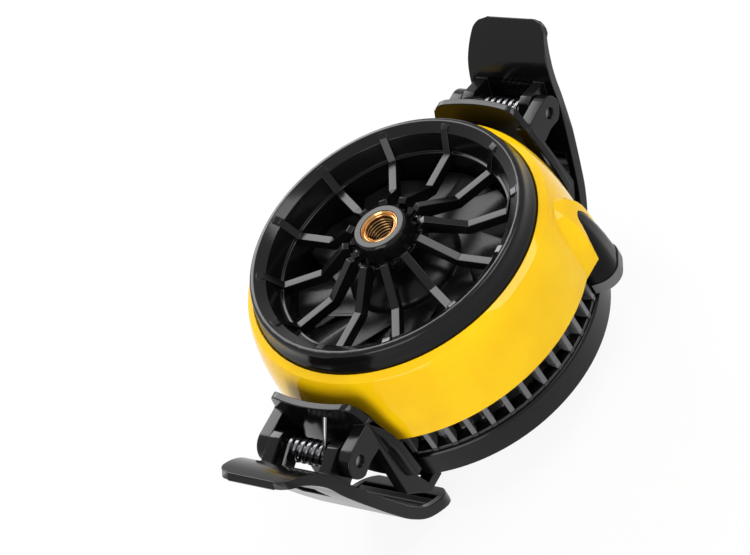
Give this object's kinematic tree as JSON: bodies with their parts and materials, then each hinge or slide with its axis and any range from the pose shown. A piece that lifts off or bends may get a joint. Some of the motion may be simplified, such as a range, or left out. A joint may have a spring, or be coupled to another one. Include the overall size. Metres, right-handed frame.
{
  "type": "phone cooling fan",
  "caption": "Round clip-on phone cooler with a spoked fan grille, gloss case, side vents, cold plate and sprung clips on both sides.",
  "frame": {"origin": "centre of the cold contact face", "axes": "+Z along the fan axis from the cold face to the front grille, +X towards the right hand clip"},
  "size_m": [0.1142, 0.0693, 0.0469],
  "materials": {
    "black_satin": "satin black moulding",
    "black_fan": "dark grey moulding",
    "yellow_gloss": "gloss yellow",
    "brass": "turned brass",
    "aluminium": "bead blasted",
    "steel": "plain steel",
    "dark_steel": "blackened steel",
    "spring_steel": "bright wire",
    "grey_rubber": "ribbed rubber",
    "silicone": "soft silicone",
    "foam": "closed cell foam",
    "ceramic": "white ceramic",
    "copper": "enamelled copper wire",
    "magnet": "bonded ferrite",
    "circuit_board": "green solder mask"
  },
  "bodies": {
    "cooler": {"front_grille": "black_satin", "threaded_insert": "brass", "case_ring": "yellow_gloss", "vent_ring": "black_satin", "base_cover": "black_satin", "usb_port_hood": "black_satin", "usb_socket": "steel", "control_board": "circuit_board", "thermal_pad": "silicone", "cold_plate": "aluminium", "peltier_module": "ceramic", "insulation_ring": "foam", "heat_sink": "aluminium", "motor_base": "black_satin", "motor_board": "circuit_board", "bearing_sleeve": "brass", "stator_core": "steel", "stator_coils": "copper", "housing_screws": "steel", "bracket_screws": "steel", "clip_bracket_right": "black_satin", "clip_bracket_left": "black_satin", "clip_pin_right": "dark_steel", "clip_pin_left": "dark_steel", "clip_spring_right": "spring_steel", "clip_spring_left": "spring_steel"},
    "fan": {"fan_impeller": "black_fan", "rotor_yoke": "steel", "rotor_magnet": "magnet", "fan_shaft": "steel"},
    "lever_right": {"clip_lever_right": "black_satin", "jaw_pad_right": "grey_rubber"},
    "lever_left": {"clip_lever_left": "black_satin", "jaw_pad_left": "grey_rubber"}
  },
  "joints": [
    {"name": "fan_spin", "type": "hinge", "parent": "cooler", "child": "fan", "pos_m": [0, 0, 0.02], "axis": [0, 0, 1], "continuous": true},
    {"name": "clip_right_hinge", "type": "hinge", "parent": "cooler", "child": "lever_right", "pos_m": [0.04235, 0, 0.02384], "axis": [0, -1, 0], "range_deg": [0, 25], "stiffness_Nm_per_rad": 0.06, "springref_deg": -20.05, "deforming": ["clip_spring_right"]},
    {"name": "clip_left_hinge", "type": "hinge", "parent": "cooler", "child": "lever_left", "pos_m": [-0.04235, 0, 0.02384], "axis": [0, 1, 0], "range_deg": [0, 25], "stiffness_Nm_per_rad": 0.06, "springref_deg": -20.05, "deforming": ["clip_spring_left"]}
  ]
}
